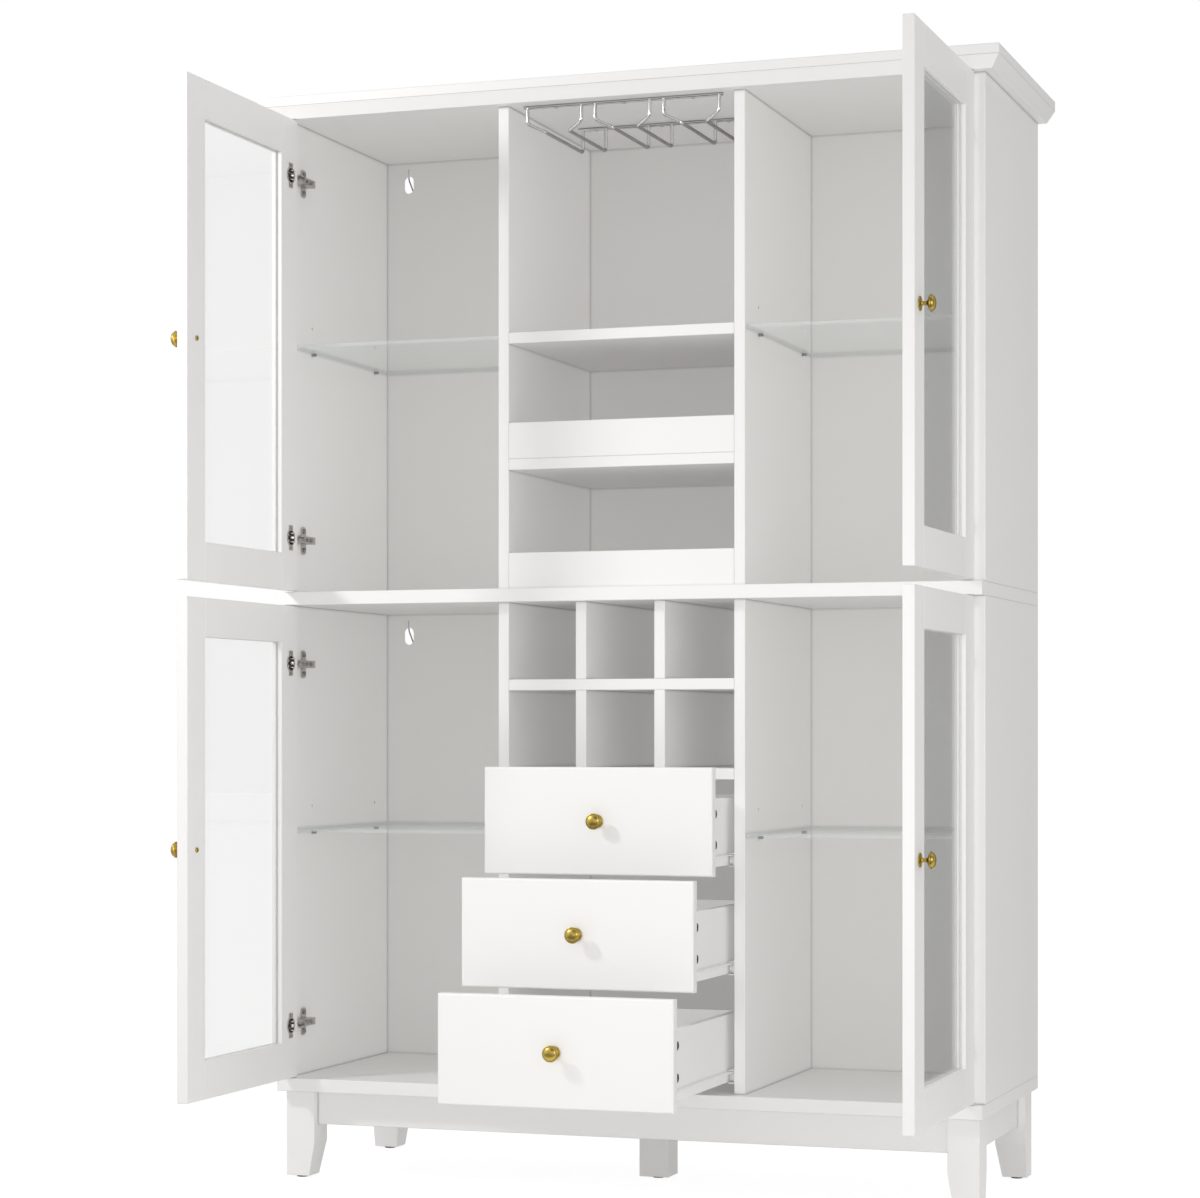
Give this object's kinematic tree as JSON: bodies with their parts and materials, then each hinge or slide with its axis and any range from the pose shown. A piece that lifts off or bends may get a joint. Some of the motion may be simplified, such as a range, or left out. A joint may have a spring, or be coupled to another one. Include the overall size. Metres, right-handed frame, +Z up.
{
  "type": "wine cabinet",
  "caption": "Tall free-standing wine cabinet on tapered legs, with hinged glazed doors, sliding drawers, a bottle grid, glass shelves and a hanging rack for stemmed glasses.",
  "frame": {"origin": "on the floor, at the underside of the middle leg's glide, which is under the middle of the base panel", "axes": "+Z up, the doors and drawers face -Y, +X to the right seen from the front"},
  "size_m": [1.25, 0.8395, 1.8],
  "materials": {
    "white_paint": "white satin paint on board",
    "white_back_board": "thin white-faced board, satin",
    "white_drawer_board": "white foil on board, satin",
    "clear_glass": "clear float glass",
    "shelf_glass": "clear float glass with polished edges",
    "polished_brass": "polished",
    "chromed_wire": "polished",
    "nickel_hinge": "nickel-plated, satin",
    "zinc_screw": "zinc-plated",
    "dark_fitting": "dark oxide",
    "white_runner_steel": "white powder coat",
    "roller_nylon": "white nylon",
    "black_plastic": "black, matt",
    "beech": "fluted beech, raw"
  },
  "bodies": {
    "cabinet": {"aprons": "white_paint", "back_boards": "white_back_board", "base_panel": "white_paint", "bay_shelves": "white_paint", "cabinet_runners": "white_runner_steel", "carcass_screws": "zinc_screw", "cornice_moulding": "white_paint", "crown_board": "white_paint", "cubby_rails": "white_paint", "glass_shelves": "shelf_glass", "glides": "black_plastic", "hinge_arms": "nickel_hinge", "hinge_plates": "nickel_hinge", "legs": "white_paint", "lower_sides": "white_paint", "mid_panel": "white_paint", "panel_dowels": "beech", "partitions": "white_paint", "shelf_pins": "zinc_screw", "stemware_rack": "chromed_wire", "top_panel": "white_paint", "upper_sides": "white_paint", "wine_dividers": "white_paint"},
    "upper_left_door": {"upper_left_door_frame": "white_paint", "upper_left_door_glass": "clear_glass", "upper_left_door_hinges": "nickel_hinge", "upper_left_door_knob": "polished_brass"},
    "upper_right_door": {"upper_right_door_frame": "white_paint", "upper_right_door_glass": "clear_glass", "upper_right_door_hinges": "nickel_hinge", "upper_right_door_knob": "polished_brass"},
    "lower_left_door": {"lower_left_door_frame": "white_paint", "lower_left_door_glass": "clear_glass", "lower_left_door_hinges": "nickel_hinge", "lower_left_door_knob": "polished_brass"},
    "lower_right_door": {"lower_right_door_frame": "white_paint", "lower_right_door_glass": "clear_glass", "lower_right_door_hinges": "nickel_hinge", "lower_right_door_knob": "polished_brass"},
    "top_drawer": {"top_drawer_box": "white_drawer_board", "top_drawer_cams": "dark_fitting", "top_drawer_front": "white_paint", "top_drawer_knob": "polished_brass", "top_drawer_runners": "white_runner_steel"},
    "top_drawer_rear_rollers": {"top_drawer_rear_rollers": "roller_nylon"},
    "top_drawer_front_rollers": {"top_drawer_front_rollers": "roller_nylon"},
    "middle_drawer": {"middle_drawer_box": "white_drawer_board", "middle_drawer_cams": "dark_fitting", "middle_drawer_front": "white_paint", "middle_drawer_knob": "polished_brass", "middle_drawer_runners": "white_runner_steel"},
    "middle_drawer_rear_rollers": {"middle_drawer_rear_rollers": "roller_nylon"},
    "middle_drawer_front_rollers": {"middle_drawer_front_rollers": "roller_nylon"},
    "bottom_drawer": {"bottom_drawer_box": "white_drawer_board", "bottom_drawer_cams": "dark_fitting", "bottom_drawer_front": "white_paint", "bottom_drawer_knob": "polished_brass", "bottom_drawer_runners": "white_runner_steel"},
    "bottom_drawer_rear_rollers": {"bottom_drawer_rear_rollers": "roller_nylon"},
    "bottom_drawer_front_rollers": {"bottom_drawer_front_rollers": "roller_nylon"}
  },
  "joints": [
    {"name": "upper_left_door_hinge", "type": "hinge", "parent": "cabinet", "child": "upper_left_door", "pos_m": [-0.5835, -0.224, 1.366], "axis": [0, 0, -1], "range_deg": [-90, 15]},
    {"name": "upper_right_door_hinge", "type": "hinge", "parent": "cabinet", "child": "upper_right_door", "pos_m": [0.5835, -0.224, 1.366], "axis": [0, 0, 1], "range_deg": [-90, 15]},
    {"name": "lower_left_door_hinge", "type": "hinge", "parent": "cabinet", "child": "lower_left_door", "pos_m": [-0.5835, -0.224, 0.558], "axis": [0, 0, -1], "range_deg": [-90, 15]},
    {"name": "lower_right_door_hinge", "type": "hinge", "parent": "cabinet", "child": "lower_right_door", "pos_m": [0.5835, -0.224, 0.558], "axis": [0, 0, 1], "range_deg": [-90, 15]},
    {"name": "top_drawer_slide", "type": "slide", "parent": "cabinet", "child": "top_drawer", "axis": [0, -1, 0], "range_m": [-0.093, 0.207]},
    {"name": "top_drawer_rear_roller_spin", "type": "hinge", "parent": "top_drawer", "child": "top_drawer_rear_rollers", "pos_m": [0, 0.074, 0.541], "axis": [1, 0, 0], "range_deg": [-580, 1290]},
    {"name": "top_drawer_front_roller_spin", "type": "hinge", "parent": "cabinet", "child": "top_drawer_front_rollers", "pos_m": [0, -0.187, 0.5398], "axis": [1, 0, 0], "range_deg": [-667, 1483]},
    {"name": "middle_drawer_slide", "type": "slide", "parent": "cabinet", "child": "middle_drawer", "axis": [0, -1, 0], "range_m": [-0.191, 0.109]},
    {"name": "middle_drawer_rear_roller_spin", "type": "hinge", "parent": "middle_drawer", "child": "middle_drawer_rear_rollers", "pos_m": [0, -0.024, 0.3685], "axis": [1, 0, 0], "range_deg": [-1190, 679]},
    {"name": "middle_drawer_front_roller_spin", "type": "hinge", "parent": "cabinet", "child": "middle_drawer_front_rollers", "pos_m": [0, -0.187, 0.3673], "axis": [1, 0, 0], "range_deg": [-1368, 781]},
    {"name": "bottom_drawer_slide", "type": "slide", "parent": "cabinet", "child": "bottom_drawer", "axis": [0, -1, 0], "range_m": [-0.29, 0.01]},
    {"name": "bottom_drawer_rear_roller_spin", "type": "hinge", "parent": "bottom_drawer", "child": "bottom_drawer_rear_rollers", "pos_m": [0, -0.123, 0.196], "axis": [1, 0, 0], "range_deg": [-1807, 63]},
    {"name": "bottom_drawer_front_roller_spin", "type": "hinge", "parent": "cabinet", "child": "bottom_drawer_front_rollers", "pos_m": [0, -0.187, 0.1948], "axis": [1, 0, 0], "range_deg": [-2077, 72]}
  ],
  "couplings": [
    {"joint": "top_drawer_rear_roller_spin", "follows": "top_drawer_slide", "rad_per_m": 108.7},
    {"joint": "top_drawer_front_roller_spin", "follows": "top_drawer_slide", "rad_per_m": 125},
    {"joint": "middle_drawer_rear_roller_spin", "follows": "middle_drawer_slide", "rad_per_m": 108.7},
    {"joint": "middle_drawer_front_roller_spin", "follows": "middle_drawer_slide", "rad_per_m": 125},
    {"joint": "bottom_drawer_rear_roller_spin", "follows": "bottom_drawer_slide", "rad_per_m": 108.7},
    {"joint": "bottom_drawer_front_roller_spin", "follows": "bottom_drawer_slide", "rad_per_m": 125}
  ]
}
